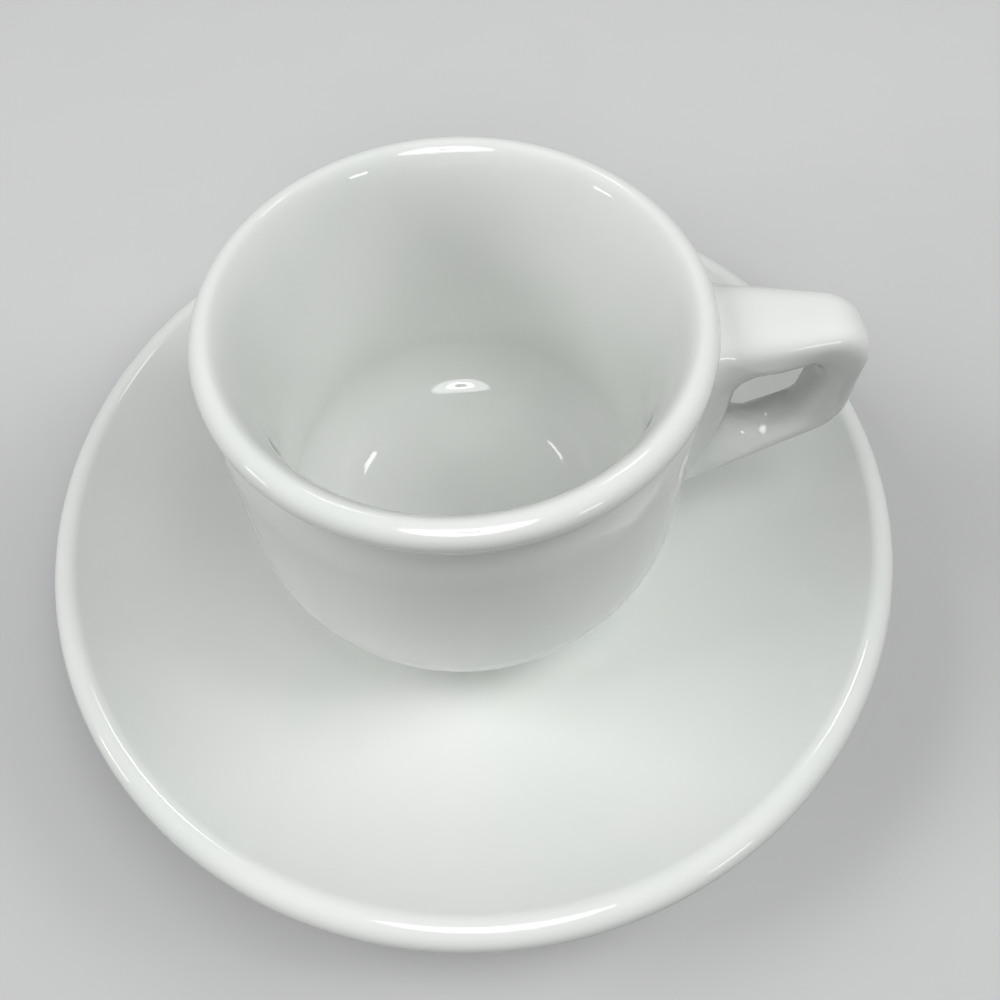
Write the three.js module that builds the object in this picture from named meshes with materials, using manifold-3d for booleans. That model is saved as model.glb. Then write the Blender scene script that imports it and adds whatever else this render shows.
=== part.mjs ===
// A small cup and saucer in thick white glazed china, in millimetres with +Z up.
// The origin is the centre of the saucer's foot, on the surface that the saucer stands on.
// The cup stands in the saucer's well, and its handle points along +X.

import * as THREE from 'three';
import { mergeVertices } from 'three/addons/utils/BufferGeometryUtils.js';
import Module from 'manifold-3d';

// Saucer sizes
const saucerRadius = 60;
const saucerHeight = 20.2;
const saucerThickness = 4.4;
const saucerFloor = 3.5;
const saucerFootRadius = 32.5;
const saucerFootWidth = 3;
const saucerFootRecess = 2.2;
const saucerFootChamfer = 0.5;
const wellPlay = 2.1;
const wellDepth = 0.9;
const wellStepRun = 2;
const flankSlope = THREE.MathUtils.degToRad(6);

// Cup sizes
const cupHeight = 52;
const cupWallRadius = 30.6;
const cupLowerBend = 17.2;
const cupInnerBend = 9.5;
const cupInnerSlope = THREE.MathUtils.degToRad(0.5);
const cupFloor = 3.4;
const rimOverhang = 0.4;
const rimThickness = 4.1;
const rimRollWidth = 4.6;
const rimRollDepth = 22;
const neckDrop = 12;
const neckPull = 5;
const neckLeave = 2.3;
const neckAngle = THREE.MathUtils.degToRad(-43);
const cupFootRadius = 18.2;
const cupFootWidth = 2.6;
const cupFootHeight = 2.8;
const cupFootRecess = 2.1;
const cupFootChamfer = 0.5;

// The cup's foot rests in the well, pushed a little to the side away from the handle.
const seatGap = 0.3;
const cupSideShare = 0.7;

// Handle sizes: the reach is out from the cup's wall, and the widths are across the limbs.
const handleReach = 21.5;
const handleTopDrop = 4.2;
const handleFootLift = 11.4;
const handleWidth = 13;
const handleRoot = 1.6;
const handleBend = 6.3;
const fingerHoleBend = 4.1;
const flareWidth = 3.2;
const flareRun = 4;
const wrapRun = 10;
const slipGap = 0.3;

// The four corners of the handle's outline and of its finger hole run from the upper root round to the
// lower one. Each is a share of the reach and of the height between the two roots.
const outlineShares = [[0, 1], [0.972, 0.97], [1, 0.445], [0, 0]];
const fingerHoleShares = [[0.238, 0.805], [0.785, 0.768], [0.675, 0.435], [0.238, 0.28]];
const outlineBendShares = [0.3, 0.94, 1.08, 0.3];
const fingerHoleBendShares = [1.2, 1.1, 0.9, 1.2];
const limbWidthShares = [1, 0.66, 0.54, 0.67];
const flareLiftShares = [0.16, 0.16, -0.69, -0.69];
const cornerShare = 0.2;

// How square a section of the handle is on its outer half and by the finger hole: 2 is round.
const outerPower = 3.2;
const holePower = 2.1;

// How finely the round forms are stepped
const saucerSegments = 72;
const cupSegments = 60;
const bendSteps = 8;
const undersideSteps = 5;
const easeSteps = 5;
const rimSteps = 4;
const rollSteps = 8;
const returnSteps = 2;
const handleSideSteps = 6;
const handleCornerSteps = 4;
const sectionPoints = 20;

const china = { color: 0xe4e8e5, roughness: 0.14, metalness: 0 };
const quarter = Math.PI / 2;

// Points on an arc about a centre, with both ends counted.
function arcPoints(centre, radius, from, to, steps) {
  const points = [];
  for (let i = 0; i <= steps; i++) {
    const angle = THREE.MathUtils.lerp(from, to, i / steps);
    const spoke = new THREE.Vector2(Math.cos(angle), Math.sin(angle));
    points.push(centre.clone().addScaledVector(spoke, radius));
  }
  return points;
}

// The points between the two ends of a curve that leaves and arrives along its inner control points.
function easedPoints(start, leave, arrive, end) {
  return new THREE.CubicBezierCurve(start, leave, arrive, end).getPoints(easeSteps).slice(1, -1);
}

// The ring that a piece stands on: recessed inside, flat below, with both lower edges chamfered.
function footProfile(radius, width, recess, chamfer) {
  return [
    new THREE.Vector2(0, recess),
    new THREE.Vector2(radius - width - chamfer, recess),
    new THREE.Vector2(radius - width, recess - chamfer),
    new THREE.Vector2(radius - width, chamfer),
    new THREE.Vector2(radius - width + chamfer, 0),
    new THREE.Vector2(radius - chamfer, 0),
    new THREE.Vector2(radius, chamfer),
  ];
}

// A profile of radius and height, turned about the vertical axis.
function turned(profile, segments) {
  return new THREE.LatheGeometry(profile, segments).rotateX(quarter);
}

// Saucer: a foot ring, a curved flank, a rounded lip, and a flat well that holds the cup's foot.
const saucerFloorTop = saucerFootRecess + saucerFloor;

function saucerProfile() {
  const lipRadius = saucerThickness / 2;
  const lipCentre = new THREE.Vector2(saucerRadius - lipRadius, saucerHeight - lipRadius);
  const wellFoot = new THREE.Vector2(cupFootRadius + wellPlay, saucerFloorTop);
  const wellEdge = new THREE.Vector2(wellFoot.x + wellStepRun, saucerFloorTop + wellDepth);

  // The flank is one arc that leaves the well's edge at its slope and runs tangentially into the lip.
  const normal = new THREE.Vector2(-Math.sin(flankSlope), Math.cos(flankSlope));
  const toLip = lipCentre.clone().sub(wellEdge);
  const flankRadius = (toLip.lengthSq() - lipRadius ** 2) / (2 * (toLip.dot(normal) + lipRadius));
  const flankCentre = wellEdge.clone().addScaledVector(normal, flankRadius);
  const lipAngle = lipCentre.clone().sub(flankCentre).angle() - 2 * Math.PI;

  // The underside runs parallel to the flank, from the foot ring out to the lip.
  const underRadius = flankRadius + saucerThickness;
  const footAngle = -Math.acos((saucerFootRadius - flankCentre.x) / underRadius);

  const stepOut = new THREE.Vector2(wellFoot.x + wellStepRun / 2, wellFoot.y);
  const along = new THREE.Vector2(Math.cos(flankSlope), Math.sin(flankSlope));
  const stepIn = wellEdge.clone().addScaledVector(along, -wellStepRun / 2);

  return [
    ...footProfile(saucerFootRadius, saucerFootWidth, saucerFootRecess, saucerFootChamfer),
    ...arcPoints(flankCentre, underRadius, footAngle, lipAngle, undersideSteps),
    ...arcPoints(lipCentre, lipRadius, lipAngle, 0, returnSteps).slice(1),
    ...arcPoints(lipCentre, lipRadius, 0, quarter, rimSteps).slice(1),
    ...arcPoints(lipCentre, lipRadius, quarter, lipAngle + Math.PI, returnSteps).slice(1),
    ...arcPoints(flankCentre, flankRadius, lipAngle, flankSlope - quarter, bendSteps).slice(1),
    ...easedPoints(wellEdge, stepIn, stepOut, wellFoot),
    wellFoot,
    new THREE.Vector2(0, saucerFloorTop),
  ];
}

// Cup body: its outside, from the foot ring up to the top of the rolled rim.
const rimRoll = rimThickness / 2;
const rimCentre = new THREE.Vector2(cupWallRadius + rimOverhang - rimRoll, cupHeight - rimRoll);

function cupOuterProfile() {
  // The lower bend starts at the top of the foot ring and runs into the upright wall.
  const bendAxis = cupWallRadius - cupLowerBend;
  const bendDrop = Math.sqrt(cupLowerBend ** 2 - (cupFootRadius - bendAxis) ** 2);
  const bendCentre = new THREE.Vector2(bendAxis, cupFootHeight + bendDrop);
  const footAngle = -Math.acos((cupFootRadius - bendAxis) / cupLowerBend);

  // A shallow neck draws the wall in a little under the rim.
  const neckFoot = new THREE.Vector2(cupWallRadius, cupHeight - neckDrop);
  const neckLift = new THREE.Vector2(cupWallRadius, neckFoot.y + neckPull);
  const underRim = arcPoints(rimCentre, rimRoll, neckAngle, 0, returnSteps);
  const downwards = new THREE.Vector2(Math.sin(neckAngle), -Math.cos(neckAngle));
  const neckEnd = underRim[0].clone().addScaledVector(downwards, neckLeave);

  return [
    ...arcPoints(bendCentre, cupLowerBend, footAngle, 0, bendSteps),
    neckFoot,
    ...easedPoints(neckFoot, neckLift, neckEnd, underRim[0]),
    ...underRim,
    ...arcPoints(rimCentre, rimRoll, 0, quarter, rimSteps).slice(1),
  ];
}

// Cup body: its inside, from the top of the rim down to the middle of the floor.
function cupInnerProfile() {
  // The rim rolls down inside along an ellipse, as far as the wall's slope.
  const end = Math.atan2(rimRollWidth, rimRollDepth * Math.tan(cupInnerSlope));
  const roll = [];
  for (let i = 1; i <= rollSteps; i++) {
    const turn = (end * i) / rollSteps;
    const inwards = rimRollWidth * Math.sin(turn);
    roll.push(new THREE.Vector2(rimCentre.x - inwards, cupHeight - rimRollDepth * (1 - Math.cos(turn))));
  }

  // The wall leans in from there to the bend, which runs into the floor.
  const floorTop = cupFootRecess + cupFloor;
  const wallTop = roll.at(-1);
  const bendTop = floorTop + cupInnerBend * (1 - Math.sin(cupInnerSlope));
  const wallFoot = wallTop.x - (wallTop.y - bendTop) * Math.tan(cupInnerSlope);
  const bendAxis = wallFoot - cupInnerBend * Math.cos(cupInnerSlope);
  const bendCentre = new THREE.Vector2(bendAxis, floorTop + cupInnerBend);
  return [
    ...roll,
    ...arcPoints(bendCentre, cupInnerBend, -cupInnerSlope, -quarter, bendSteps),
    new THREE.Vector2(0, floorTop),
  ];
}

function cupProfile() {
  return [
    ...footProfile(cupFootRadius, cupFootWidth, cupFootRecess, cupFootChamfer),
    ...cupOuterProfile(),
    ...cupInnerProfile(),
  ];
}

// All the space inside the cup's outer face, grown outwards by the thickness of the slip joint.
function cupEnvelope() {
  const outside = cupOuterProfile();
  const grown = outside.map((point, i) => {
    const before = outside[Math.max(i - 1, 0)];
    const after = outside[Math.min(i + 1, outside.length - 1)];
    const tangent = after.clone().sub(before).normalize();
    return new THREE.Vector2(point.x + slipGap * tangent.y, point.y - slipGap * tangent.x);
  });
  const foot = new THREE.Vector2(0, grown[0].y);
  const crown = new THREE.Vector2(0, grown.at(-1).y);
  return turned([foot, ...grown, crown], cupSegments);
}

// The radius of the cup's outer face at a height.
function wallRadiusAt(outside, height) {
  const above = Math.max(outside.findIndex((point) => point.y > height), 1);
  const low = outside[above - 1];
  const high = outside[above];
  return THREE.MathUtils.mapLinear(Math.max(height, low.y), low.y, high.y, low.x, high.x);
}

// A closed outline with four rounded corners. All such outlines have the same number of points on each
// arc and side, so two of them pair up. Each point also tells how many corners lie before it.
function roundedOutline(corners, radii) {
  const arcs = corners.map((corner, i) => {
    const toBefore = corners.at(i - 1).clone().sub(corner).normalize();
    const toAfter = corners[(i + 1) % corners.length].clone().sub(corner).normalize();
    const half = Math.acos(toBefore.dot(toAfter)) / 2;
    const middle = toBefore.clone().add(toAfter).normalize();
    const centre = corner.clone().addScaledVector(middle, radii[i] / Math.sin(half));
    const start = corner.clone().addScaledVector(toBefore, radii[i] / Math.tan(half));
    const from = start.sub(centre).angle();
    return arcPoints(centre, radii[i], from, from - (Math.PI - 2 * half), handleCornerSteps);
  });
  const outline = [];
  arcs.forEach((arc, i) => {
    arc.forEach((point, j) => {
      outline.push({ point, passed: i + cornerShare * (2 * (j / handleCornerSteps) - 1) });
    });
    const next = arcs[(i + 1) % arcs.length][0];
    for (let j = 1; j <= handleSideSteps; j++) {
      const along = j / (handleSideSteps + 1);
      const point = arc.at(-1).clone().lerp(next, along);
      outline.push({ point, passed: i + cornerShare + (1 - 2 * cornerShare) * along });
    }
  });
  return outline;
}

// A value that is given at each corner, at a place between two of them.
function between(shares, passed) {
  const turn = THREE.MathUtils.euclideanModulo(passed, shares.length);
  const low = Math.floor(turn);
  return THREE.MathUtils.lerp(shares[low], shares[(low + 1) % shares.length], turn - low);
}

// How far the root has spread at a distance from the wall: fully at the wall, and not at all past the run.
function spread(distance) {
  const left = 1 - THREE.MathUtils.clamp(distance / flareRun, 0, 1);
  return 1 - Math.sqrt(1 - left * left);
}

// A signed power that turns a circle's cosine or sine into that of a rounded square.
function squared(value, power) {
  return Math.sign(value) * Math.abs(value) ** (2 / power);
}

// Handle: a closed ring of rounded square sections between its outline and the finger hole.
// Close to the cup the ring spreads into its two roots and wraps round the wall.
function handleRing() {
  const outside = cupOuterProfile();
  const top = cupHeight - handleTopDrop;
  const place = ([out, up]) => {
    const x = cupWallRadius + (out > 0 ? out * handleReach : -handleRoot);
    return new THREE.Vector2(x, THREE.MathUtils.lerp(handleFootLift, top, up));
  };
  const outerBends = outlineBendShares.map((share) => share * handleBend);
  const holeBends = fingerHoleBendShares.map((share) => share * fingerHoleBend);
  const outer = roundedOutline(outlineShares.map(place), outerBends);
  const hole = roundedOutline(fingerHoleShares.map(place), holeBends);

  const positions = [];
  outer.forEach(({ point, passed }, i) => {
    const middle = point.clone().lerp(hole[i].point, 1 / 2);
    const half = point.clone().sub(middle);
    const halfWidth = (handleWidth / 2) * between(limbWidthShares, passed);
    const lift = between(flareLiftShares, passed);
    for (let j = 0; j < sectionPoints; j++) {
      const angle = (2 * Math.PI * j) / sectionPoints;
      const power = angle < Math.PI ? outerPower : holePower;
      const across = squared(Math.cos(angle), power);
      const outwards = squared(Math.sin(angle), power);
      const x = middle.x + half.x * outwards;
      const z = middle.y + half.y * outwards;
      const distance = x - wallRadiusAt(outside, z);
      const flare = flareWidth * spread(distance);
      const y = (halfWidth + flare) * across;
      const wrapped = Math.sqrt(Math.max(x * x - y * y, 0));
      const freed = THREE.MathUtils.smoothstep(distance, 0, wrapRun);
      positions.push(THREE.MathUtils.lerp(wrapped, x, freed), y, z + flare * lift * Math.max(outwards, 0));
    }
  });

  const indices = [];
  for (let i = 0; i < outer.length; i++) {
    const here = i * sectionPoints;
    const there = ((i + 1) % outer.length) * sectionPoints;
    for (let j = 0; j < sectionPoints; j++) {
      const k = (j + 1) % sectionPoints;
      indices.push(here + j, here + k, there + j, here + k, there + k, there + j);
    }
  }
  const geometry = new THREE.BufferGeometry();
  geometry.setAttribute('position', new THREE.Float32BufferAttribute(positions, 3));
  geometry.setIndex(indices);
  return geometry;
}

const wasm = await Module();
wasm.setup();

// A closed mesh as a solid that can be cut.
function solidOf(geometry) {
  const bare = geometry.clone();
  bare.deleteAttribute('normal');
  bare.deleteAttribute('uv');
  const merged = mergeVertices(bare);
  return new wasm.Manifold(
    new wasm.Mesh({
      numProp: 3,
      vertProperties: merged.attributes.position.array,
      triVerts: new Uint32Array(merged.index.array),
    }),
  );
}

// A solid back as geometry, with flat faces.
function geometryOf(solid) {
  const mesh = solid.getMesh();
  const geometry = new THREE.BufferGeometry();
  geometry.setAttribute('position', new THREE.BufferAttribute(mesh.vertProperties, 3));
  geometry.setIndex(new THREE.BufferAttribute(mesh.triVerts, 1));
  const faceted = geometry.toNonIndexed();
  faceted.computeVertexNormals();
  return faceted;
}

function chinaMesh(name, geometry) {
  const mesh = new THREE.Mesh(geometry, new THREE.MeshStandardMaterial(china));
  mesh.name = name;
  return mesh;
}

const saucer = chinaMesh('saucer', turned(saucerProfile(), saucerSegments));
const cupBody = chinaMesh('cup_body', turned(cupProfile(), cupSegments));
const handle = solidOf(handleRing()).subtract(solidOf(cupEnvelope()));
const cupHandle = chinaMesh('cup_handle', geometryOf(handle));

const cup = new THREE.Group();
cup.add(cupBody, cupHandle);
cup.position.set(-wellPlay * cupSideShare, 0, saucerFloorTop + seatGap);

const cupAndSaucer = new THREE.Group();
cupAndSaucer.add(saucer, cup);

export default cupAndSaucer;
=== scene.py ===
"""A small cup and saucer in thick white glazed china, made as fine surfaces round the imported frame.

Lengths are in metres and angles in radians. The origin is the centre of the saucer's foot, on the
surface that the saucer stands on, and the cup's handle points along +X.
"""

import math

import bpy
import numpy as np
from bpy.props import FloatProperty, FloatVectorProperty, IntProperty, PointerProperty
from bpy.types import Operator, Panel, PropertyGroup
from mathutils import Matrix, Vector


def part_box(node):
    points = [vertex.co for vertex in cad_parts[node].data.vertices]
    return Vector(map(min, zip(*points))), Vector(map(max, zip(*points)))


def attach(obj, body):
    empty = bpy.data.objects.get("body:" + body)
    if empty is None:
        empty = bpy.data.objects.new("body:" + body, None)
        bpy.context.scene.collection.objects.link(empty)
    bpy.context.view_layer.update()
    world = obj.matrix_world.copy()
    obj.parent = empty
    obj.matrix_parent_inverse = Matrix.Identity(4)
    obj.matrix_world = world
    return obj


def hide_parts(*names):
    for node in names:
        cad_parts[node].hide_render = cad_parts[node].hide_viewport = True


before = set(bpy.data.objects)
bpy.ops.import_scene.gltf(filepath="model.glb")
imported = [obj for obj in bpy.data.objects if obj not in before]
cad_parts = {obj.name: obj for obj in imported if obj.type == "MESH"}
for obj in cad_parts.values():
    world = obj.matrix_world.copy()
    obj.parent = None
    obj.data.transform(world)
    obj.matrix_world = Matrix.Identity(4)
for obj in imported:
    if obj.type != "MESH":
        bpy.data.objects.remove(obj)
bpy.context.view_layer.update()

bl_info = {
    "name": "China Cup and Saucer",
    "version": (1, 0, 0),
    "blender": (4, 5, 0),
    "location": "View3D > Sidebar > China",
    "description": "Makes a small glazed cup with a ring handle, its saucer and a plain studio",
    "category": "Add Mesh",
}

QUARTER = math.pi / 2
TURN = 2 * math.pi

# The longest stretch between two rings of a turned piece, and how near two points count as one.
PROFILE_STEP = 0.0008
SAME_POINT = 1e-9

# How many steps each stretch of a turned outline has before the long ones are divided.
FOOT_EDGE_STEPS = 8
FILLET_STEPS = 10
UNDERSIDE_STEPS = 60
LIP_UNDER_STEPS = 16
LIP_OUTER_STEPS = 24
LIP_INNER_STEPS = 20
FLANK_STEPS = 90
WELL_EDGE_STEPS = 16
BEND_STEPS = 56
NECK_STEPS = 40
RIM_UNDER_STEPS = 14
RIM_OUTER_STEPS = 24
ROLL_POINTS = 40

FLOOR_SIDES = 96
LENS_CLIP = 0.005
GLAZE_IOR = 1.5

# The sockets of a Mix node that blends colours.
MIX_SHARE, MIX_LOW, MIX_HIGH, MIX_RESULT = 0, 6, 7, 2

# The middle of an area lamp, and half its width, in its own coordinates of 0 to 1.
LAMP_MIDDLE = 0.5

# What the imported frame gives: the corners of each node's box.
SAUCER_TOP_CORNER = Vector(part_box("saucer")[1])
CUP_LOW, CUP_HIGH = (Vector(corner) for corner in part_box("cup_body"))
HANDLE_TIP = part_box("cup_handle")[1][0]
CUP_AXIS = (CUP_LOW.x + CUP_HIGH.x) / 2
RIM_RADIUS = (CUP_HIGH.x - CUP_LOW.x) / 2

# The handle's outline and its finger hole have four corners each, from the upper root round to the
# lower one. They are shares of the reach and of the height between the roots, as in the CAD model.
OUTLINE_SHARES = ((0, 1), (0.972, 0.97), (1, 0.445), (0, 0))
FINGER_HOLE_SHARES = ((0.238, 0.805), (0.785, 0.768), (0.675, 0.435), (0.238, 0.28))

# At the same corners: the rounding as a share of the bend, the width as a share of the upper
# root's, and how far the outer edge rises as a share of a root's spread. The last is how far to
# either side of a corner its arc counts, as a share of the way to the next.
OUTLINE_BEND_SHARES = (0.3, 0.94, 1.08, 0.3)
FINGER_HOLE_BEND_SHARES = (1.2, 1.1, 0.9, 1.2)
LIMB_WIDTH_SHARES = (1, 0.66, 0.54, 0.67)
FLARE_LIFT_SHARES = (0.16, 0.16, -0.69, -0.69)
CORNER_SHARE = 0.2

# Where the lamps stand: degrees round from the camera's side towards the handle, and degrees up. A
# soft lamp also has its share of their power. The glints are small lamps that only the glaze
# mirrors, and each has its width and height in metres.
SOFT_LAMPS = {
    "high_lamp": (60, 70, 0.22),
    "left_lamp": (270, 45, 0.27),
    "right_lamp": (90, 45, 0.23),
    "front_lamp": (0, 45, 0.16),
    "low_left_lamp": (292, 20, 0.12),
}
GLINTS = {
    "high_right_glint": (146, 64, 0.08, 0.04),
    "high_left_glint": (204, 64, 0.08, 0.04),
    "right_glint": (42, 15, 0.09, 0.05),
    "left_glint": (287, 13, 0.09, 0.05),
}


def length(name, description, metres):
    """A property that holds one length."""
    return FloatProperty(
        name=name, description=description, default=metres, min=0, precision=5, unit="LENGTH"
    )


def angle(name, description, degrees):
    """A property that holds one angle."""
    return FloatProperty(
        name=name, description=description, default=math.radians(degrees), subtype="ANGLE"
    )


def colour(name, description, rgb):
    """A property that holds one linear colour."""
    return FloatVectorProperty(
        name=name, description=description, default=rgb, size=3, min=0, max=1, subtype="COLOR"
    )


def amount(name, description, value):
    """A property that holds a plain number."""
    return FloatProperty(name=name, description=description, default=value, min=0, precision=4)


def count(name, description, number):
    """A property that holds a whole number."""
    return IntProperty(name=name, description=description, default=number)


class SaucerSizes(PropertyGroup):
    """Sizes of the saucer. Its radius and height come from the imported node."""

    radius: length("Radius", "Outer radius of the lip", SAUCER_TOP_CORNER.x)
    height: length("Height", "Height of the lip above the table", SAUCER_TOP_CORNER.z)
    thickness: length("Thickness", "Thickness of the flank and the lip", 0.0044)
    floor: length("Floor", "Thickness of the china under the well", 0.0035)
    foot_radius: length("Foot Radius", "Outer radius of the foot ring", 0.0325)
    foot_width: length("Foot Width", "Width of the foot ring", 0.003)
    foot_recess: length("Foot Recess", "Height of the middle above the table", 0.0022)
    foot_round: length("Foot Round", "Radius of the foot ring's edges", 0.0005)
    foot_fillet: length("Foot Fillet", "Size of the fillet above the foot ring", 0.0012)
    well_play: length("Well Play", "Room round the cup's foot ring", 0.0021)
    well_depth: length("Well Depth", "Height of the step round the well", 0.0009)
    well_step: length("Well Step", "Width of the step round the well", 0.002)
    flank_slope: angle("Flank Slope", "Slope of the flank where it leaves the well", 6)
    segments: count("Segments", "Steps round the axis", 288)


class CupSizes(PropertyGroup):
    """Sizes of the cup's body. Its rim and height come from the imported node."""

    base: length("Base", "Height of the cup's foot above the table", CUP_LOW.z)
    height: length("Height", "Height of the cup", CUP_HIGH.z - CUP_LOW.z)
    roll_width: length("Roll Width", "How far the rim's roll runs inwards from its crest", 0.0046)
    roll_depth: length("Roll Depth", "How far the rim's roll runs down inside", 0.022)
    inner_slope: angle("Inner Slope", "Lean of the inner wall from upright", 0.5)
    floor: length("Floor", "Thickness of the floor", 0.0034)
    lower_bend: length("Lower Bend", "Radius of the bend from the foot to the wall", 0.0172)
    inner_bend: length("Inner Bend", "Radius of the bend from the floor to the wall", 0.0095)
    rim_overhang: length("Rim Overhang", "How far the rim stands out from the wall", 0.0004)
    rim_thickness: length("Rim Thickness", "Thickness of the rolled rim", 0.0041)
    neck_drop: length("Neck Drop", "Depth under the rim at which the neck starts", 0.012)
    neck_pull: length("Neck Pull", "How long the neck stays upright", 0.005)
    neck_leave: length("Neck Leave", "How long the neck follows the rim's roll", 0.0023)
    neck_angle: angle("Neck Angle", "Where the neck meets the rim's roll", -43)
    foot_radius: length("Foot Radius", "Outer radius of the foot ring", 0.0182)
    foot_width: length("Foot Width", "Width of the foot ring", 0.0026)
    foot_height: length("Foot Height", "Height of the foot ring", 0.0028)
    foot_recess: length("Foot Recess", "Depth of the hollow under the floor", 0.0021)
    foot_round: length("Foot Round", "Radius of the foot ring's edges", 0.0005)
    foot_fillet: length("Foot Fillet", "Size of the fillet above the foot ring", 0.0008)
    segments: count("Segments", "Steps round the axis", 256)


class HandleSizes(PropertyGroup):
    """Sizes of the ring handle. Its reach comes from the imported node."""

    top_drop: length("Top Drop", "Depth of the handle's top under the rim", 0.0042)
    foot_lift: length("Foot Lift", "Height of the lower root above the cup's foot", 0.0114)
    width: length("Width", "Width of the handle at its upper root", 0.013)
    bend: length("Bend", "Radius that the outline's corners take shares of", 0.0063)
    hole_bend: length("Hole Bend", "Radius that the finger hole's corners take shares of", 0.0041)
    root: length("Root", "How far the handle's own outline runs into the wall", 0.0016)
    flare_width: length("Flare Width", "How much each side of a root spreads", 0.0032)
    flare_run: length("Flare Run", "Distance from the wall over which a root spreads", 0.004)
    wrap_run: length("Wrap Run", "Distance from the wall over which the root follows it", 0.01)
    embed: length("Embed", "How deep the root lies in the wall", 0.00006)
    crease_angle: angle("Crease Angle", "Fold past which shading breaks, as at a root's edge", 50)
    outer_power: amount("Outer Power", "Squareness of the section's outer half: 2 is round", 3.2)
    hole_power: amount("Hole Power", "Squareness of the section's half by the finger hole", 2.1)
    side_steps: count("Side Steps", "Steps along each side", 64)
    corner_steps: count("Corner Steps", "Steps round each corner", 32)
    section_points: count("Section Points", "Points round a section", 112)


class GlazeLook(PropertyGroup):
    """Colours and texture of the china and its glaze."""

    white: colour("White", "Colour of the glazed china", (0.75, 0.765, 0.745))
    pooled: colour("Pooled", "Colour where the glaze lies thick", (0.71, 0.74, 0.715))
    bare: colour("Bare", "Colour of the unglazed foot rings", (0.70, 0.67, 0.61))
    speck: colour("Speck", "Colour of the iron specks in the glaze", (0.16, 0.14, 0.12))
    speck_spacing: length("Speck Spacing", "Size of the cells that may each hold a speck", 0.009)
    speck_size: length("Speck Size", "Radius of a speck", 0.00016)
    speck_share: amount("Speck Share", "Share of the cells that hold a speck", 0.16)
    roughness: amount("Roughness", "Roughness of the glaze", 0.02)
    bare_roughness: amount("Bare Roughness", "Roughness of the unglazed china", 0.7)
    bare_height: length("Bare Height", "Height of the wiped band on each foot ring", 0.00045)
    bare_blur: length("Bare Blur", "Softness of the wiped band's edge", 0.0001)
    cloud_size: length("Cloud Size", "Size of the soft patches in the colour", 0.03)
    cloud_low: amount("Cloud Low", "Noise below which the colour is the plain white", 0.35)
    cloud_high: amount("Cloud High", "Noise above which the colour is the pooled one", 0.75)
    ripple_size: length("Ripple Size", "Size of the ripples in the glaze", 0.006)
    ripple_depth: length("Ripple Depth", "Depth of the ripples in the glaze", 0.00002)
    pit_size: length("Pit Size", "Spacing of the fine unevenness in the glaze", 0.0011)
    pit_depth: length("Pit Depth", "Depth of the fine unevenness in the glaze", 0.000004)


class StudioSettings(PropertyGroup):
    """The floor, the camera and the lamps."""

    floor_colour: colour("Floor Colour", "Colour of the floor as it is seen", (0.64, 0.645, 0.645))
    floor_bounce: colour("Floor Bounce", "Colour of the floor to other light", (0.1, 0.1, 0.1))
    floor_radius: length("Floor Radius", "Radius of the round floor", 3.0)
    fade_start: length("Fade Start", "How far out the floor starts to fade", 0.14)
    fade_end: length("Fade End", "How far out the floor is as pale as the sky", 0.45)
    shadow_share: amount("Shadow Share", "Share of the sky's level in the floor near the cup", 0.15)
    floor_roughness: amount("Floor Roughness", "Roughness of the floor", 1)
    mottle_size: length("Mottle Size", "Size of the floor's faint mottle", 0.017)
    mottle_share: amount("Mottle Share", "How light the mottle's darker patches stay", 0.97)
    camera_place: FloatVectorProperty(
        name="Camera Place",
        description="Where the lens is",
        default=(0, -0.07423, 0.14237),
        size=3,
        precision=5,
        unit="LENGTH",
    )
    camera_pan: angle("Camera Pan", "Turn of the camera to the right", 2.905)
    camera_pitch: angle("Camera Pitch", "How far the camera looks down", 50.725)
    camera_roll: angle("Camera Roll", "Turn of the camera about its own axis", 0.312)
    focal_share: amount("Focal Share", "Focal length as a share of the picture's width", 0.9626)
    axis_rise: amount("Axis Rise", "Rise of the optical axis above the middle, as a share", 0.1667)
    lamp_distance: length("Lamp Distance", "Distance of the lamps from the cup", 0.6)
    aim_height: length("Aim Height", "Height that the lamps face", 0.03)
    soft_size: length("Soft Size", "Width of each soft lamp", 0.25)
    soft_power: amount("Soft Power", "Power of all the soft lamps together in watts", 5.5)
    glint_power: amount("Glint Power", "Power of the glint lamps in watts per square metre", 28)
    ring_width: length("Ring Width", "Width of the pale disc round the lens", 0.072)
    ring_inner: length("Ring Inner", "Inner radius of the bright ring round the lens", 0.0085)
    ring_outer: length("Ring Outer", "Outer radius of the bright ring round the lens", 0.017)
    ring_power: amount("Ring Power", "Power of the ring lamp in watts", 0.28)
    disc_share: amount("Disc Share", "Strength of the pale disc against the ring's", 0.35)
    sky_strength: amount("Sky Strength", "Strength of the even light all round", 0.02)
    sky_seen: amount("Sky Seen", "Strength of the sky where it is seen or reflected", 0.55)


def arc(centre, radius, start, end, steps):
    """Points on a circle: centre + radius (cos a, sin a), where a runs evenly from start to end."""
    spokes = np.linspace(start, end, steps + 1)
    return np.asarray(centre) + radius * np.column_stack([np.cos(spokes), np.sin(spokes)])


def eased(start, leave, arrive, end, steps):
    """A cubic curve: each of four points is weighted by its Bernstein polynomial of t, 0 to 1."""
    t = np.linspace(0, 1, steps + 1)[:, None]
    s = 1 - t
    start, leave, arrive, end = (np.asarray(point) for point in (start, leave, arrive, end))
    return s**3 * start + 3 * s**2 * t * leave + 3 * s * t**2 * arrive + t**3 * end


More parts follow.
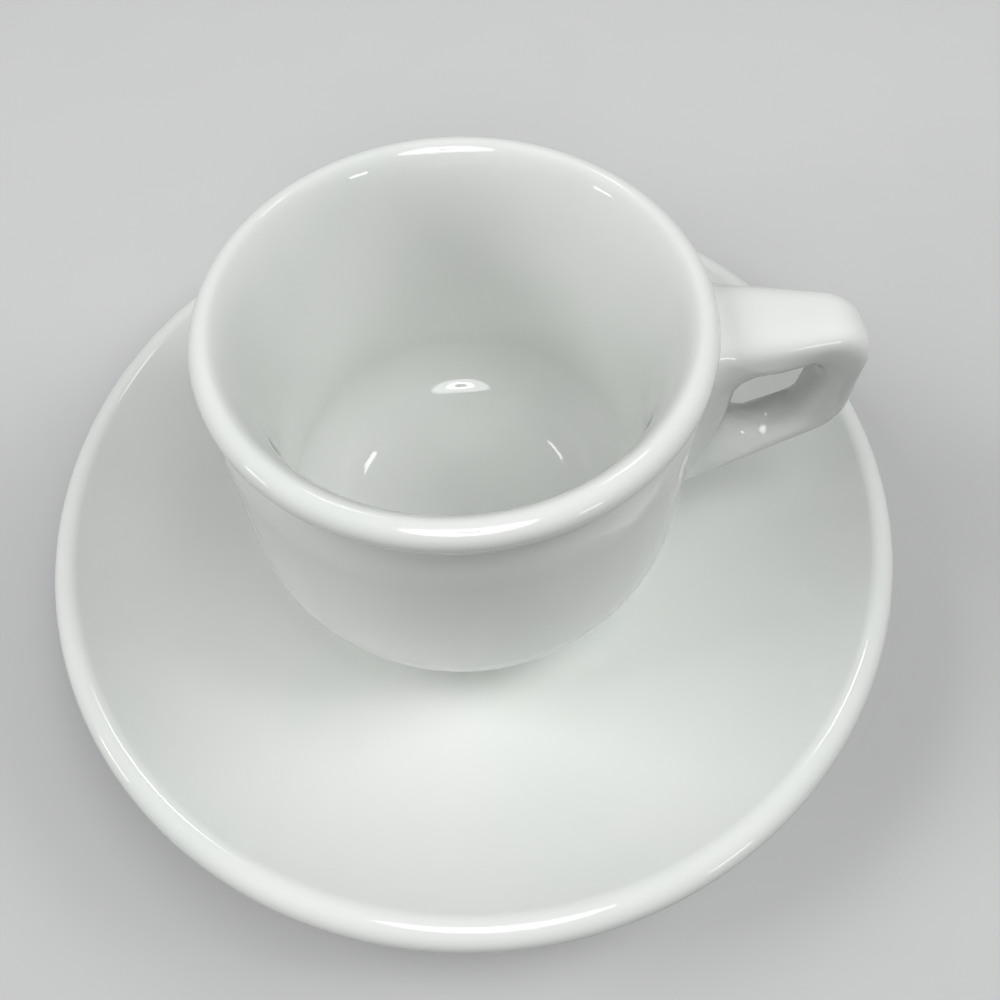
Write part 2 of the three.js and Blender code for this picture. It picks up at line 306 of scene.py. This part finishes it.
def evenly(profile, step):
    """The same line with each stretch that is longer than the step divided into equal shares."""
    stretches = np.linalg.norm(np.diff(profile, axis=0), axis=1)
    apart = stretches > SAME_POINT
    profile = np.vstack([profile[:1], profile[1:][apart]])
    stretches = stretches[apart]
    counts = np.ceil(stretches / step).astype(int)
    which = np.repeat(np.arange(len(counts)), counts)
    share = (np.arange(len(which)) - np.repeat(np.cumsum(counts) - counts, counts)) / counts[which]
    points = profile[which] + share[:, None] * (profile[which + 1] - profile[which])
    return np.vstack([points, profile[-1:]])


def surface(name, points, faces):
    """A smooth mesh object with its place in its mesh."""
    mesh = bpy.data.meshes.new(name)
    mesh.from_pydata(points, [], faces)
    mesh.shade_smooth()
    piece = bpy.data.objects.new(name, mesh)
    bpy.context.scene.collection.objects.link(piece)
    return piece


def turned(name, profile, axis_x, base, segments):
    """A profile (r, z) that starts and ends on the axis, turned about it.

    The point at (i, a) is (axis + r_i cos a, r_i sin a, base + z_i), with a running once round.
    """
    spin = np.arange(segments) * TURN / segments
    radius, height = profile[1:-1].T
    x = axis_x + radius[:, None] * np.cos(spin)
    y = radius[:, None] * np.sin(spin)
    z = np.broadcast_to(base + height[:, None], x.shape)
    poles = np.array([[axis_x, 0, base + profile[0, 1]], [axis_x, 0, base + profile[-1, 1]]])
    points = np.vstack([np.stack([x, y, z], axis=-1).reshape(-1, 3), poles])

    ring = np.arange(len(radius) * segments).reshape(len(radius), segments)
    after = np.roll(ring, -1, axis=1)
    quads = np.stack([ring[:-1], after[:-1], after[1:], ring[1:]], axis=-1).reshape(-1, 4)
    low, high = np.full(segments, len(points) - 2), np.full(segments, len(points) - 1)
    under = np.column_stack([low, after[0], ring[0]])
    over = np.column_stack([ring[-1], after[-1], high])
    return surface(name, points, quads.tolist() + under.tolist() + over.tolist())


def foot_profile(sizes):
    """The ring that a piece stands on, from the middle outwards.

    The middle is recessed, and each edge of the ring is a quarter of a circle.
    """
    inner = sizes.foot_radius - sizes.foot_width
    edge = sizes.foot_round
    return np.vstack([
        [[0, sizes.foot_recess]],
        arc((inner - edge, sizes.foot_recess - edge), edge, QUARTER, 0, FOOT_EDGE_STEPS),
        arc((inner + edge, edge), edge, 2 * QUARTER, 3 * QUARTER, FOOT_EDGE_STEPS),
        arc((sizes.foot_radius - edge, edge), edge, -QUARTER, 0, FOOT_EDGE_STEPS),
    ])


def fillet(corner, size, beyond):
    """A cubic curve from under a corner to a point beyond it, drawn towards the corner."""
    return eased(corner - np.array([0, size]), corner, corner, beyond, FILLET_STEPS)


def saucer_profile(sizes, cup):
    """The saucer's outline: its foot ring, underside, lip, flank and well."""
    lip_radius = sizes.thickness / 2
    lip = np.array([sizes.radius - lip_radius, sizes.height - lip_radius])
    floor_top = sizes.foot_recess + sizes.floor
    well_foot = np.array([cup.foot_radius + sizes.well_play, floor_top])
    well_edge = well_foot + np.array([sizes.well_step, sizes.well_depth])

    # The flank is one arc that leaves the well's edge at its slope and runs into the lip. Its
    # radius R is the one at which the two centres lie R + r apart, where r is the lip's radius.
    slope = sizes.flank_slope
    normal = np.array([-math.sin(slope), math.cos(slope)])
    to_lip = lip - well_edge
    flank_radius = (to_lip @ to_lip - lip_radius**2) / (2 * (to_lip @ normal + lip_radius))
    flank = well_edge + flank_radius * normal
    lip_angle = math.atan2(lip[1] - flank[1], lip[0] - flank[0])

    # The underside runs parallel to the flank, from a fillet at the foot ring out to the lip.
    under_radius = flank_radius + sizes.thickness
    foot_angle = -math.acos((sizes.foot_radius - flank[0]) / under_radius)
    land_angle = -math.acos((sizes.foot_radius + sizes.foot_fillet - flank[0]) / under_radius)
    corner = flank + under_radius * np.array([math.cos(foot_angle), math.sin(foot_angle)])
    landing = flank + under_radius * np.array([math.cos(land_angle), math.sin(land_angle)])

    half_step = sizes.well_step / 2
    step_in = well_edge - half_step * np.array([math.cos(slope), math.sin(slope)])
    step_out = well_foot + np.array([half_step, 0])
    return np.vstack([
        foot_profile(sizes),
        fillet(corner, sizes.foot_fillet, landing),
        arc(flank, under_radius, land_angle, lip_angle, UNDERSIDE_STEPS),
        arc(lip, lip_radius, lip_angle, 0, LIP_UNDER_STEPS),
        arc(lip, lip_radius, 0, QUARTER, LIP_OUTER_STEPS),
        arc(lip, lip_radius, QUARTER, lip_angle + math.pi, LIP_INNER_STEPS),
        arc(flank, flank_radius, lip_angle, slope - QUARTER, FLANK_STEPS),
        eased(well_edge, step_in, step_out, well_foot, WELL_EDGE_STEPS),
        [[0, floor_top]],
    ])


def cup_outside(sizes):
    """The cup's outer outline, from above its foot ring up to the top of the rolled rim.

    An arc bends the wall up until it is upright, and a cubic neck runs from the wall into the
    rim's circle along its tangent.
    """
    wall_radius = RIM_RADIUS - sizes.rim_overhang
    bend_axis = wall_radius - sizes.lower_bend
    bend_drop = math.sqrt(sizes.lower_bend**2 - (sizes.foot_radius - bend_axis) ** 2)
    bend = np.array([bend_axis, sizes.foot_height + bend_drop])
    foot_angle = -math.acos((sizes.foot_radius - bend_axis) / sizes.lower_bend)
    land_angle = -math.acos((sizes.foot_radius + sizes.foot_fillet - bend_axis) / sizes.lower_bend)
    corner = bend + sizes.lower_bend * np.array([math.cos(foot_angle), math.sin(foot_angle)])
    landing = bend + sizes.lower_bend * np.array([math.cos(land_angle), math.sin(land_angle)])

    roll = sizes.rim_thickness / 2
    rim = np.array([RIM_RADIUS - roll, sizes.height - roll])
    neck_foot = np.array([wall_radius, sizes.height - sizes.neck_drop])
    under_rim = rim + roll * np.array([math.cos(sizes.neck_angle), math.sin(sizes.neck_angle)])
    backwards = np.array([math.sin(sizes.neck_angle), -math.cos(sizes.neck_angle)])
    neck_start = neck_foot + np.array([0, sizes.neck_pull])
    neck_end = under_rim + sizes.neck_leave * backwards
    return np.vstack([
        fillet(corner, sizes.foot_fillet, landing),
        arc(bend, sizes.lower_bend, land_angle, 0, BEND_STEPS),
        eased(neck_foot, neck_start, neck_end, under_rim, NECK_STEPS),
        arc(rim, roll, sizes.neck_angle, 0, RIM_UNDER_STEPS),
        arc(rim, roll, 0, QUARTER, RIM_OUTER_STEPS),
    ])


def cup_profile(sizes):
    """The cup's whole outline: its foot ring, outside, rolled rim, inside and floor.

    Inside, the rim rolls down along an ellipse into a wall that leans, and an arc joins it to the
    floor.
    """
    slope = sizes.inner_slope
    crest = np.array([RIM_RADIUS - sizes.rim_thickness / 2, sizes.height])
    end = math.atan2(sizes.roll_width, sizes.roll_depth * math.tan(slope))
    t = np.linspace(0, end, ROLL_POINTS)[:, None]
    roll = crest - np.hstack([sizes.roll_width * np.sin(t), sizes.roll_depth * (1 - np.cos(t))])

    floor_top = sizes.foot_recess + sizes.floor
    radius = sizes.inner_bend
    drop = roll[-1, 1] + radius * math.sin(slope) - floor_top - radius
    down = np.array([-math.sin(slope), -math.cos(slope)]) * drop / math.cos(slope)
    bend = roll[-1] + down + radius * np.array([-math.cos(slope), math.sin(slope)])
    return np.vstack([
        foot_profile(sizes),
        cup_outside(sizes),
        roll[1:],
        arc(bend, radius, -slope, -QUARTER, BEND_STEPS),
        [[0, floor_top]],
    ])


def rounded_outline(corners, radii, corner_steps, side_steps):
    """A closed line round four corners: an arc for each corner, then a straight side to the next.

    Also gives how many corners lie before each point, for values that change round the ring.
    """
    arcs = []
    for i, corner in enumerate(corners):
        before = corners[i - 1] - corner
        after = corners[(i + 1) % len(corners)] - corner
        before, after = before / np.linalg.norm(before), after / np.linalg.norm(after)
        half = math.acos(before @ after) / 2
        middle = (before + after) / np.linalg.norm(before + after)
        centre = corner + middle * radii[i] / math.sin(half)
        first = corner + before * radii[i] / math.tan(half) - centre
        start = math.atan2(first[1], first[0])
        arcs.append(arc(centre, radii[i], start, start - (math.pi - 2 * half), corner_steps))
    points, passed = [], []
    turn = np.linspace(-CORNER_SHARE, CORNER_SHARE, corner_steps + 1)
    along = np.arange(1, side_steps + 1) / (side_steps + 1)
    for i, line in enumerate(arcs):
        end = arcs[(i + 1) % len(arcs)][0]
        points += [line, line[-1] + along[:, None] * (end - line[-1])]
        passed += [i + turn, i + CORNER_SHARE + (1 - 2 * CORNER_SHARE) * along]
    return np.vstack(points), np.concatenate(passed)


def round_the_ring(shares, passed):
    """A smooth closed curve through the values at the corners (a Catmull-Rom spline)."""
    values = np.asarray(shares, float)
    low = np.floor(passed).astype(int)
    t = passed - low
    before, here, there, after = (values[(low + k) % len(values)] for k in (-1, 0, 1, 2))
    bend = 2 * before - 5 * here + 4 * there - after
    twist = 3 * (here - there) + after - before
    return here + 0.5 * t * (there - before + t * (bend + t * twist))


def spread(distance, run):
    """1 at the wall and 0 past the run, along a quarter circle that leaves the wall upright."""
    left = 1 - np.clip(distance / run, 0, 1)
    return 1 - np.sqrt(1 - left * left)


def handle_points(sizes, cup):
    """The ring handle as a grid: a place round the ring by a place round its section.

    Each section is a rounded square, with cos and sin raised to a signed power, that spans the
    outline and the finger hole. Near the wall its width grows by the root's spread, which also
    moves its edge up or down along the wall's outline, and x goes over from its own value to
    sqrt(x^2 - y^2), which wraps the root round the wall.
    """
    wall_radius = RIM_RADIUS - cup.rim_overhang
    reach = HANDLE_TIP - CUP_AXIS - wall_radius
    top = cup.height - sizes.top_drop
    outside = cup_outside(cup)

    def wall_at(height):
        return np.interp(height, outside[:, 1], outside[:, 0]) - sizes.embed

    def placed(shares):
        out, up = np.array(shares, float).T
        x = wall_radius + np.where(out > 0, out * reach, -sizes.root)
        return np.column_stack([x, sizes.foot_lift + up * (top - sizes.foot_lift)])

    steps = sizes.corner_steps, sizes.side_steps
    bends = [sizes.bend * share for share in OUTLINE_BEND_SHARES]
    hole_bends = [sizes.hole_bend * share for share in FINGER_HOLE_BEND_SHARES]
    outer, passed = rounded_outline(placed(OUTLINE_SHARES), bends, *steps)
    hole, _ = rounded_outline(placed(FINGER_HOLE_SHARES), hole_bends, *steps)
    middle, half = (outer + hole) / 2, (outer - hole) / 2
    half_width = sizes.width / 2 * round_the_ring(LIMB_WIDTH_SHARES, passed)
    lift = round_the_ring(FLARE_LIFT_SHARES, passed)

    spin = np.arange(sizes.section_points) * TURN / sizes.section_points
    power = 2 / np.where(np.sin(spin) > 0, sizes.outer_power, sizes.hole_power)
    across = np.sign(np.cos(spin)) * np.abs(np.cos(spin)) ** power
    outwards = np.sign(np.sin(spin)) * np.abs(np.sin(spin)) ** power

    x = middle[:, :1] + half[:, :1] * outwards
    z = middle[:, 1:] + half[:, 1:] * outwards
    wall = wall_at(z)
    x = np.maximum(x, wall)
    distance = x - wall
    flare = sizes.flare_width * spread(distance, sizes.flare_run)
    y = (half_width[:, None] + flare) * across
    z = z + flare * lift[:, None] * np.maximum(outwards, 0)
    freed = np.clip(distance / sizes.wrap_run, 0, 1)
    freed = freed * freed * (3 - 2 * freed)
    x = x + (1 - freed) * (wall_at(z) - wall)
    wrapped = np.sqrt(np.maximum(x * x - y * y, 0))
    x = wrapped + freed * (x - wrapped)
    return np.stack([CUP_AXIS + x, y, cup.base + z], axis=-1)


def closed_grid(name, grid):
    """A grid of points joined into quads that close both ways, as on a ring."""
    rows, columns, _ = grid.shape
    here = np.arange(rows * columns).reshape(rows, columns)
    next_row, next_column = np.roll(here, -1, axis=0), np.roll(here, -1, axis=1)
    both = np.roll(next_row, -1, axis=1)
    quads = np.stack([here, next_column, both, next_row], axis=-1).reshape(-1, 4)
    return surface(name, grid.reshape(-1, 3), quads.tolist())


class NodeRow:
    """The shader nodes of a material, a world or a lamp, built up from none."""

    def __init__(self, owner):
        owner.use_nodes = True
        self.nodes = owner.node_tree.nodes
        self.links = owner.node_tree.links
        self.nodes.clear()

    def add(self, kind, inputs=None, **settings):
        """A node with its settings, and its inputs set to a value or linked to a socket."""
        node = self.nodes.new(kind)
        for key, value in settings.items():
            setattr(node, key, value)
        for key, value in (inputs or {}).items():
            if isinstance(value, bpy.types.NodeSocket):
                self.links.new(value, node.inputs[key])
            else:
                node.inputs[key].default_value = value
        return node

    def maths(self, operation, *values):
        """The result of one sum on its values."""
        return self.add("ShaderNodeMath", dict(enumerate(values)), operation=operation).outputs[0]

    def blend(self, share, low, high):
        """A colour between two colours: low at a share of 0, and high at 1."""
        inputs = {MIX_SHARE: share, MIX_LOW: low, MIX_HIGH: high}
        return self.add("ShaderNodeMix", inputs, data_type="RGBA").outputs[MIX_RESULT]

    def span(self, vector):
        """The length of a vector."""
        return self.add("ShaderNodeVectorMath", {0: vector}, operation="LENGTH").outputs["Value"]

    def noise(self, place, size, detail):
        """Smooth noise from 0 to 1, in patches of about the given size."""
        inputs = {"Vector": place, "Scale": 1 / size, "Detail": detail}
        return self.add("ShaderNodeTexNoise", inputs).outputs["Fac"]

    def between(self, value, low, high, to_low=0.0, to_high=1.0):
        """A value carried smoothly from one range to another and held at its ends."""
        node = self.add(
            "ShaderNodeMapRange",
            {0: value, 1: low, 2: high, 3: to_low, 4: to_high},
            interpolation_type="SMOOTHSTEP",
        )
        return node.outputs[0]


def china_material(name, look, foot_height):
    """Glazed china: a cool white under a clear glaze, bare where the foot ring was wiped.

    The colour drifts in soft patches, the glaze ripples, and the wiped band has a wavy edge.
    """
    material = bpy.data.materials.new(name)
    row = NodeRow(material)
    place = row.add("ShaderNodeTexCoord").outputs["Object"]
    clouds = row.noise(place, look.cloud_size, detail=2)
    ripples = row.noise(place, look.ripple_size, detail=1)
    pits = row.noise(place, look.pit_size, detail=2)

    drift = row.between(clouds, look.cloud_low, look.cloud_high)
    glaze = row.blend(drift, (*look.white, 1), (*look.pooled, 1))
    cells = row.add("ShaderNodeTexVoronoi", {"Vector": place, "Scale": 1 / look.speck_spacing})
    radius = look.speck_size / look.speck_spacing
    near = row.between(cells.outputs["Distance"], radius / 2, radius, 1, 0)
    chance = row.add("ShaderNodeSeparateColor", {0: cells.outputs["Color"]}).outputs[0]
    speck = row.maths("MULTIPLY", near, row.maths("LESS_THAN", chance, look.speck_share))
    glaze = row.blend(speck, glaze, (*look.speck, 1))

    height = row.add("ShaderNodeSeparateXYZ", {0: place}).outputs["Z"]
    lowest_edge = foot_height + look.bare_height / 2
    edge = row.maths("MULTIPLY_ADD", ripples, look.bare_height, lowest_edge)
    over_edge = row.maths("SUBTRACT", height, edge)
    glazed = row.between(over_edge, -look.bare_blur, look.bare_blur)

    inputs = {"Height": ripples, "Strength": 1, "Distance": look.ripple_depth}
    coarse = row.add("ShaderNodeBump", inputs).outputs[0]
    inputs = {"Height": pits, "Strength": 1, "Distance": look.pit_depth, "Normal": coarse}
    fine = row.add("ShaderNodeBump", inputs).outputs[0]
    inputs = {
        "Base Color": row.blend(glazed, (*look.bare, 1), glaze),
        "Roughness": row.between(glazed, 0, 1, look.bare_roughness, look.roughness),
        "IOR": GLAZE_IOR,
        "Normal": fine,
    }
    shader = row.add("ShaderNodeBsdfPrincipled", inputs)
    row.add("ShaderNodeOutputMaterial", {"Surface": shader.outputs[0]})
    return material


def dress(piece, material, body, node):
    """The piece takes its glaze, rides on its body and stands for its CAD node."""
    piece.data.materials.append(material)
    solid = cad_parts[node].data
    solid.materials.clear()
    solid.materials.append(material)
    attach(piece, body)
    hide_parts(node)


class CHINA_OT_saucer(Operator):
    """Make the saucer, with its foot ring, flank, lip and well"""

    bl_idname = "china.saucer"
    bl_label = "Saucer"

    def execute(self, context):
        scene = context.scene
        sizes = scene.china_saucer
        profile = evenly(saucer_profile(sizes, scene.china_cup), PROFILE_STEP)
        piece = turned("glazed_saucer", profile, 0, 0, sizes.segments)
        dress(piece, china_material("saucer_glaze", scene.china_glaze, 0), "saucer", "saucer")
        return {"FINISHED"}


class CHINA_OT_cup(Operator):
    """Make the cup's body, with its foot ring, wall and rolled rim"""

    bl_idname = "china.cup"
    bl_label = "Cup Body"

    def execute(self, context):
        scene = context.scene
        sizes = scene.china_cup
        profile = evenly(cup_profile(sizes), PROFILE_STEP)
        piece = turned("glazed_cup", profile, CUP_AXIS, sizes.base, sizes.segments)
        dress(piece, china_material("cup_glaze", scene.china_glaze, sizes.base), "cup", "cup_body")
        return {"FINISHED"}


class CHINA_OT_handle(Operator):
    """Make the ring handle, with its roots spread on the cup's wall"""

    bl_idname = "china.handle"
    bl_label = "Handle"

    def execute(self, context):
        scene = context.scene
        sizes = scene.china_handle
        piece = closed_grid("glazed_handle", handle_points(sizes, scene.china_cup))
        piece.data.set_sharp_from_angle(angle=sizes.crease_angle)
        material = china_material("handle_glaze", scene.china_glaze, 0)
        dress(piece, material, "cup", "cup_handle")
        return {"FINISHED"}


def seen_ray(row):
    """1 for rays that show the studio, straight, mirrored or through glass, and 0 for others."""
    path = row.add("ShaderNodeLightPath").outputs
    seen = row.maths("MAXIMUM", path["Is Camera Ray"], path["Is Glossy Ray"])
    return row.maths("MAXIMUM", seen, path["Is Transmission Ray"])


def floor_material(studio):
    """A matt floor with a very faint mottle, pale where it is seen and dark in the light it casts.

    It holds the shadows near the cup. Farther out, where it is seen, it fades into the sky's level.
    """
    material = bpy.data.materials.new("floor_paint")
    row = NodeRow(material)
    place = row.add("ShaderNodeTexCoord").outputs["Object"]
    mottle = row.noise(place, studio.mottle_size, detail=3)
    pale = tuple(studio.floor_colour)
    darker = tuple(studio.mottle_share * part for part in pale)
    paint = row.blend(mottle, (*darker, 1), (*pale, 1))
    seen = seen_ray(row)
    shown = row.blend(seen, (*studio.floor_bounce, 1), paint)
    matt = row.add("ShaderNodeBsdfDiffuse", {"Color": shown, "Roughness": studio.floor_roughness})
    pale_far = row.add("ShaderNodeEmission", {"Strength": studio.sky_seen})
    out = row.span(place)
    share = row.between(out, studio.fade_start, studio.fade_end, studio.shadow_share, 1)
    faded = row.maths("MULTIPLY", seen, share)
    both = row.add("ShaderNodeMixShader", {0: faded, 1: matt.outputs[0], 2: pale_far.outputs[0]})
    row.add("ShaderNodeOutputMaterial", {"Surface": both.outputs[0]})
    return material


def sky_world(studio):
    """Even light from all round, dim on the china and pale where it is seen."""
    world = bpy.data.worlds.new("studio_sky")
    row = NodeRow(world)
    strength = row.between(seen_ray(row), 0, 1, studio.sky_strength, studio.sky_seen)
    sky = row.add("ShaderNodeBackground", {"Color": (1, 1, 1, 1), "Strength": strength})
    row.add("ShaderNodeOutputWorld", {"Surface": sky.outputs[0]})
    return world


def camera_axes(pan, pitch, roll):
    """The camera's right, up and backward axes, from its pan, pitch down and roll.

    Forward is (sin pan cos pitch, cos pan cos pitch, -sin pitch). Right is level before the roll
    turns it and down about forward.
    """
    ahead = math.cos(pitch)
    forward = Vector((math.sin(pan) * ahead, math.cos(pan) * ahead, -math.sin(pitch)))
    level = Vector((math.cos(pan), -math.sin(pan), 0))
    down = forward.cross(level)
    right = math.cos(roll) * level + math.sin(roll) * down
    down = math.cos(roll) * down - math.sin(roll) * level
    return right, -down, -forward


def area_lamp(name, place, target, width, height, power):
    """A flat lamp that faces its target and that the camera doesn't see."""
    lamp = bpy.data.lights.new(name, "AREA")
    lamp.shape = "RECTANGLE"
    lamp.size = width
    lamp.size_y = height
    lamp.energy = power
    owner = bpy.data.objects.new(name, lamp)
    owner.location = place
    owner.rotation_euler = (Vector(target) - Vector(place)).to_track_quat("-Z", "Y").to_euler()
    owner.visible_camera = False
    bpy.context.scene.collection.objects.link(owner)
    return owner


def round_the_cup(azimuth, elevation, studio):
    """A place round the cup, from the degrees a round it and e up.

    It lies the lamps' distance from what they face, along (sin a cos e, -cos a cos e, sin e).
    """
    turn, up = math.radians(azimuth), math.radians(elevation)
    level = math.cos(up)
    way = Vector((math.sin(turn) * level, -math.cos(turn) * level, math.sin(up)))
    return Vector((0, 0, studio.aim_height)) + studio.lamp_distance * way


def ring_pattern(lamp, studio):
    """The ring lamp's light from its middle outwards: dark, bright, then pale to the disc's edge.

    Distances are shares of the lamp's width, because the lamp's own coordinates run from 0 to 1.
    """
    row = NodeRow(lamp)
    spot = row.add("ShaderNodeNewGeometry").outputs["Parametric"]
    inputs = {0: spot, 1: (LAMP_MIDDLE, LAMP_MIDDLE, 0)}
    from_middle = row.add("ShaderNodeVectorMath", inputs, operation="SUBTRACT").outputs[0]
    inputs = {0: from_middle, 1: (1, 1, 0)}
    flat = row.add("ShaderNodeVectorMath", inputs, operation="MULTIPLY").outputs[0]
    away = row.span(flat)
    past_inner = row.maths("GREATER_THAN", away, studio.ring_inner / studio.ring_width)
    within_outer = row.maths("LESS_THAN", away, studio.ring_outer / studio.ring_width)
    within_disc = row.maths("LESS_THAN", away, LAMP_MIDDLE)
    disc = row.maths("MULTIPLY", within_disc, studio.disc_share)
    ring = row.maths("MAXIMUM", within_outer, disc)
    glow = row.add("ShaderNodeEmission", {"Strength": row.maths("MULTIPLY", past_inner, ring)})
    row.add("ShaderNodeOutputLight", {"Surface": glow.outputs[0]})


class CHINA_OT_stage(Operator):
    """Make the floor, the camera and the lamps"""

    bl_idname = "china.stage"
    bl_label = "Stage"

    def execute(self, context):
        scene = context.scene
        studio = scene.china_studio
        self.make_floor(studio)
        self.make_camera(scene, studio)
        self.make_lamps(studio)
        scene.world = sky_world(studio)
        scene.view_settings.view_transform = "Standard"
        return {"FINISHED"}

    def make_floor(self, studio):
        """One flat round face: each corner is the radius times (cos a, sin a, 0)."""
        spin = np.arange(FLOOR_SIDES) * TURN / FLOOR_SIDES
        circle = np.column_stack([np.cos(spin), np.sin(spin), np.zeros_like(spin)])
        rim = studio.floor_radius * circle
        floor = surface("floor", rim, [list(range(len(rim)))])
        floor.data.materials.append(floor_material(studio))

    def make_lamps(self, studio):
        """The soft lamps light the china, and the glints and the ring only show in its glaze."""
        aim = (0, 0, studio.aim_height)
        for name, (azimuth, elevation, share) in SOFT_LAMPS.items():
            place = round_the_cup(azimuth, elevation, studio)
            power = share * studio.soft_power
            lamp = area_lamp(name, place, aim, studio.soft_size, studio.soft_size, power)
            lamp.visible_glossy = False
        for name, (azimuth, elevation, width, height) in GLINTS.items():
            place = round_the_cup(azimuth, elevation, studio)
            power = width * height * studio.glint_power
            area_lamp(name, place, aim, width, height, power).visible_diffuse = False
        width = studio.ring_width
        ring = area_lamp("ring_lamp", studio.camera_place, aim, width, width, studio.ring_power)
        ring.visible_diffuse = False
        ring_pattern(ring.data, studio)

    def make_camera(self, scene, studio):
        """The camera, whose optical axis lies above the middle of its picture."""
        lens = bpy.data.cameras.new("camera")
        lens.lens = studio.focal_share * lens.sensor_width
        lens.shift_y = -studio.axis_rise
        lens.clip_start = LENS_CLIP
        camera = bpy.data.objects.new("camera", lens)
        axes = camera_axes(studio.camera_pan, studio.camera_pitch, studio.camera_roll)
        turn = Matrix(axes).transposed().to_4x4()
        camera.matrix_world = Matrix.Translation(studio.camera_place) @ turn
        scene.collection.objects.link(camera)
        scene.camera = camera


class CHINA_PT_panel(Panel):
    """Lists what the add-on makes"""

    bl_label = "China Cup and Saucer"
    bl_idname = "CHINA_PT_panel"
    bl_space_type = "VIEW_3D"
    bl_region_type = "UI"
    bl_category = "China"

    def draw(self, context):
        for operator in OPERATORS:
            self.layout.operator(operator.bl_idname)


GROUPS = {
    "china_saucer": SaucerSizes,
    "china_cup": CupSizes,
    "china_handle": HandleSizes,
    "china_glaze": GlazeLook,
    "china_studio": StudioSettings,
}
OPERATORS = (CHINA_OT_saucer, CHINA_OT_cup, CHINA_OT_handle, CHINA_OT_stage)


def register():
    """Add the settings to the scene, and the operators and the panel to Blender."""
    for group in GROUPS.values():
        bpy.utils.register_class(group)
    for name, group in GROUPS.items():
        setattr(bpy.types.Scene, name, PointerProperty(type=group))
    for operator in OPERATORS:
        bpy.utils.register_class(operator)
    bpy.utils.register_class(CHINA_PT_panel)


def unregister():
    """Take away all that register added, in the opposite order."""
    bpy.utils.unregister_class(CHINA_PT_panel)
    for operator in reversed(OPERATORS):
        bpy.utils.unregister_class(operator)
    for name in GROUPS:
        delattr(bpy.types.Scene, name)
    for group in GROUPS.values():
        bpy.utils.unregister_class(group)


def main():
    """Make every piece and the stage."""
    register()
    bpy.ops.china.saucer()
    bpy.ops.china.cup()
    bpy.ops.china.handle()
    bpy.ops.china.stage()


if __name__ == "__main__":
    main()
